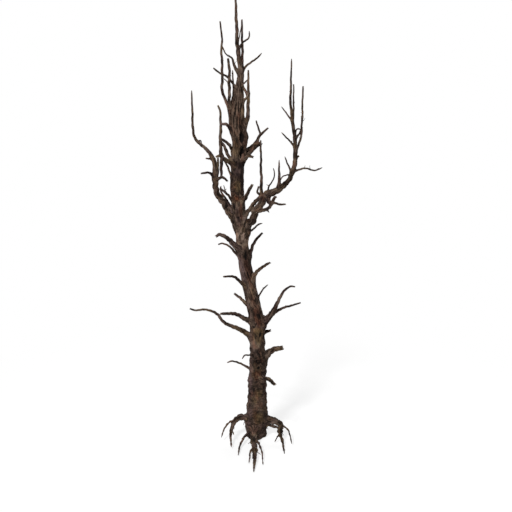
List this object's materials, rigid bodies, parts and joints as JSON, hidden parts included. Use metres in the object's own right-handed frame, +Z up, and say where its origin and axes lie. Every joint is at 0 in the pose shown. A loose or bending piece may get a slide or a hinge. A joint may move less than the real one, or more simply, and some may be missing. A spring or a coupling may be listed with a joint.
{
  "type": "dead tree",
  "caption": "Tall, slender, bare dead tree: a crooked tapering trunk on arching roots, broken side branches, two forking boughs and a crown of upright bare shoots.",
  "frame": {"origin": "on the ground, in the flat cut under the trunk's foot", "axes": "+Z up the tree; -Y is the side seen in the picture; +X to the right as seen from there"},
  "size_m": [2.9341, 2.6194, 10.0595],
  "materials": {
    "bark": "rough, weathered dead bark",
    "grey_wood": "rough, bleached dead wood",
    "red_wood": "rough, reddish dead wood",
    "mossy_bark": "rough bark with a little moss",
    "twig_wood": "thin bare twigs, dry and dull"
  },
  "bodies": {
    "root": {"trunk": "bark", "leader": "bark", "bough_left_lower": "bark", "bough_left_upper": "bark", "bough_right_lower": "bark", "bough_right_middle": "bark", "bough_right_upper": "bark", "bough_right_strand": "bark", "bough_crown_right": "bark", "bough_back_upper": "bark", "bough_back_lower": "bark", "stem_left": "grey_wood", "shoot_crown_left": "grey_wood", "shoot_crown_front": "grey_wood", "shoot_crown_back": "grey_wood", "shoot_crown_right": "grey_wood", "shoot_crown_twin": "grey_wood", "shoot_right_inner": "grey_wood", "shoot_right_middle": "grey_wood", "branch_left_1": "red_wood", "branch_left_2": "red_wood", "branch_left_3": "red_wood", "branch_left_4": "red_wood", "branch_left_5": "red_wood", "branch_left_6": "red_wood", "branch_left_7": "red_wood", "branch_left_8": "red_wood", "branch_right_1": "red_wood", "branch_right_2": "red_wood", "branch_right_3": "red_wood", "branch_right_4": "red_wood", "branch_right_5": "red_wood", "branch_right_6": "red_wood", "branch_right_stub": "red_wood", "branch_back": "red_wood", "snag_right_lower": "red_wood", "snag_right_upper": "red_wood", "twigs_crown_left": "twig_wood", "twigs_crown_crook": "twig_wood", "twigs_left_low": "twig_wood", "twigs_right_low": "twig_wood", "twigs_right_side": "twig_wood", "twigs_right_outer": "twig_wood", "twigs_right_top": "twig_wood", "root_left": "mossy_bark", "root_front_left": "mossy_bark", "root_front": "mossy_bark", "root_right": "mossy_bark", "root_back_left": "mossy_bark", "root_back_right": "mossy_bark"}
  },
  "joints": []
}
